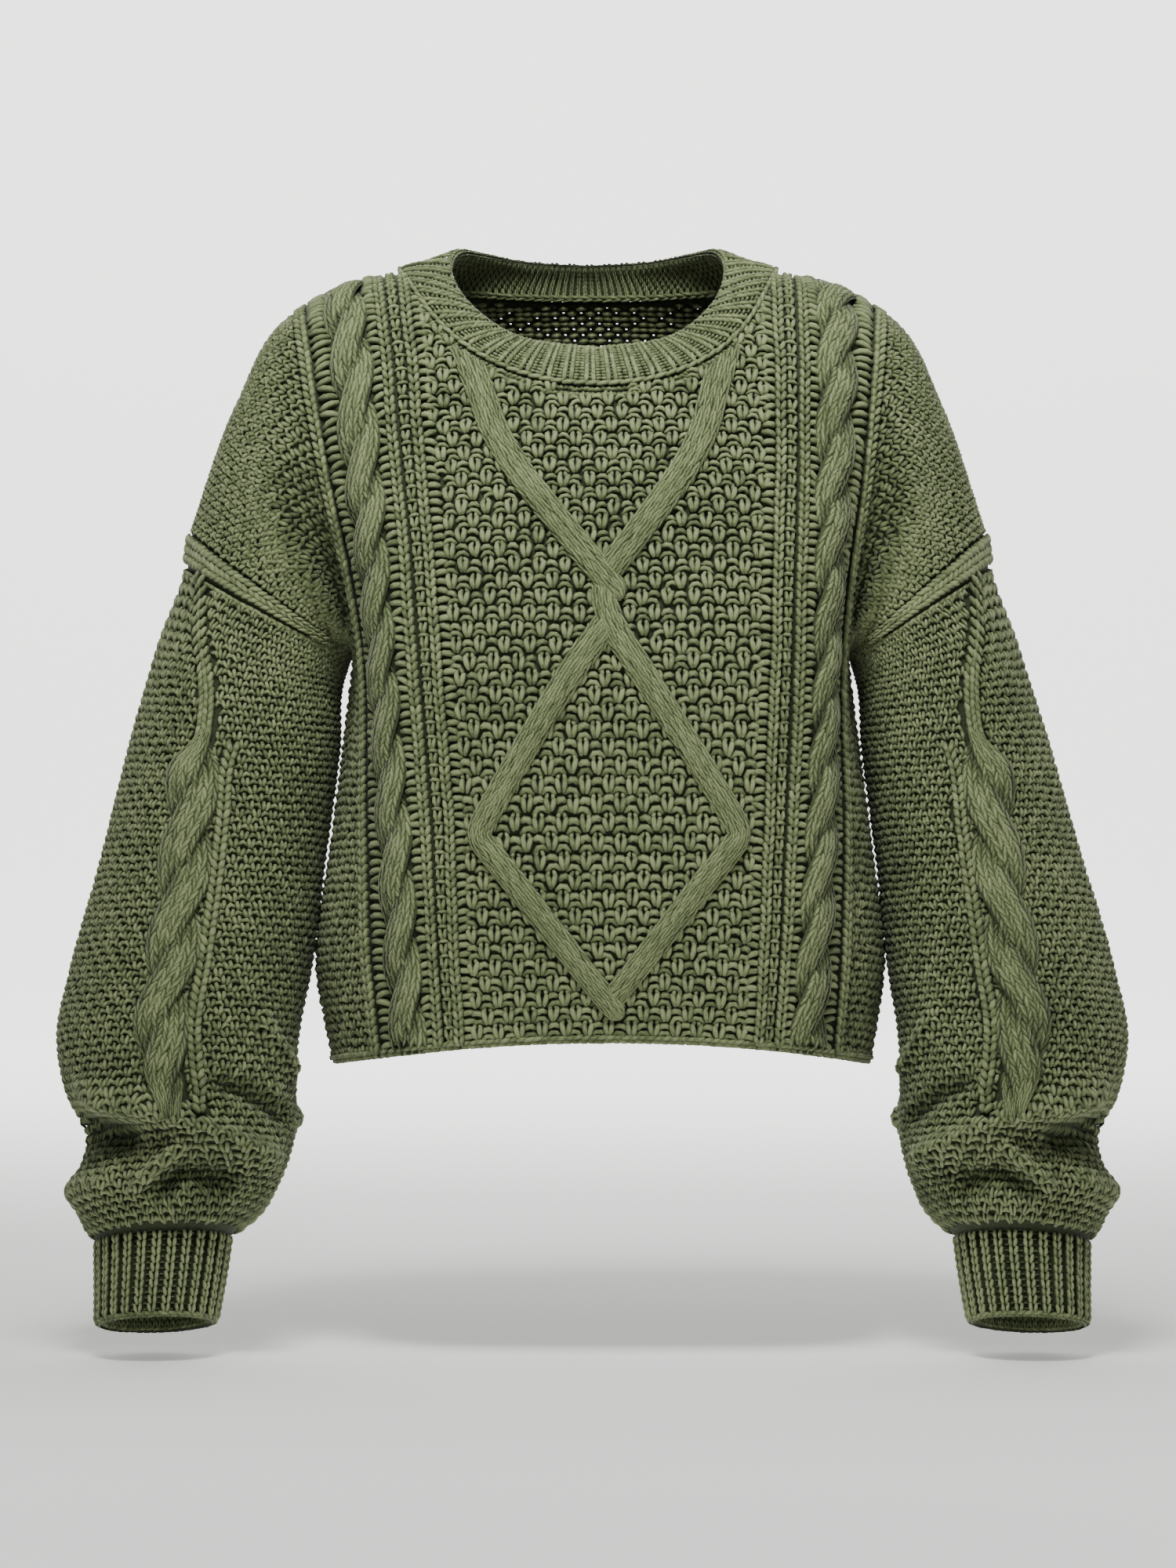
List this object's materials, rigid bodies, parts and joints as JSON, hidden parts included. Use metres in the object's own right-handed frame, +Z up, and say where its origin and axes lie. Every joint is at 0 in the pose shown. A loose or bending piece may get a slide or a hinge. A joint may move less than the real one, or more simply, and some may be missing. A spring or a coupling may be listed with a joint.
{
  "type": "cropped cable knit sweater",
  "caption": "Cropped chunky-knit pullover with a round ribbed neckband, drop shoulders, raised diamond and rope-cable work, and balloon sleeves gathered into ribbed cuffs.",
  "frame": {"origin": "on the body's middle plane, level with the neck ends of the shoulder seams, where the wearer's shoulders hold the sweater up", "axes": "+Z up the body, +X to the right as seen from in front, -Y out of the front"},
  "size_m": [0.6788, 0.2484, 0.693],
  "materials": {
    "body_knit": "chunky matt wool-blend yarn, cable and moss stitch",
    "sleeve_knit": "chunky matt wool-blend yarn, moss stitch with one rope cable",
    "rib_knit": "matt wool-blend yarn, knitted rib"
  },
  "bodies": {
    "root": {"front": "body_knit", "back": "body_knit", "sleeve_left": "sleeve_knit", "sleeve_right": "sleeve_knit", "neckband": "rib_knit", "cuff_left": "rib_knit", "cuff_right": "rib_knit"}
  },
  "joints": []
}
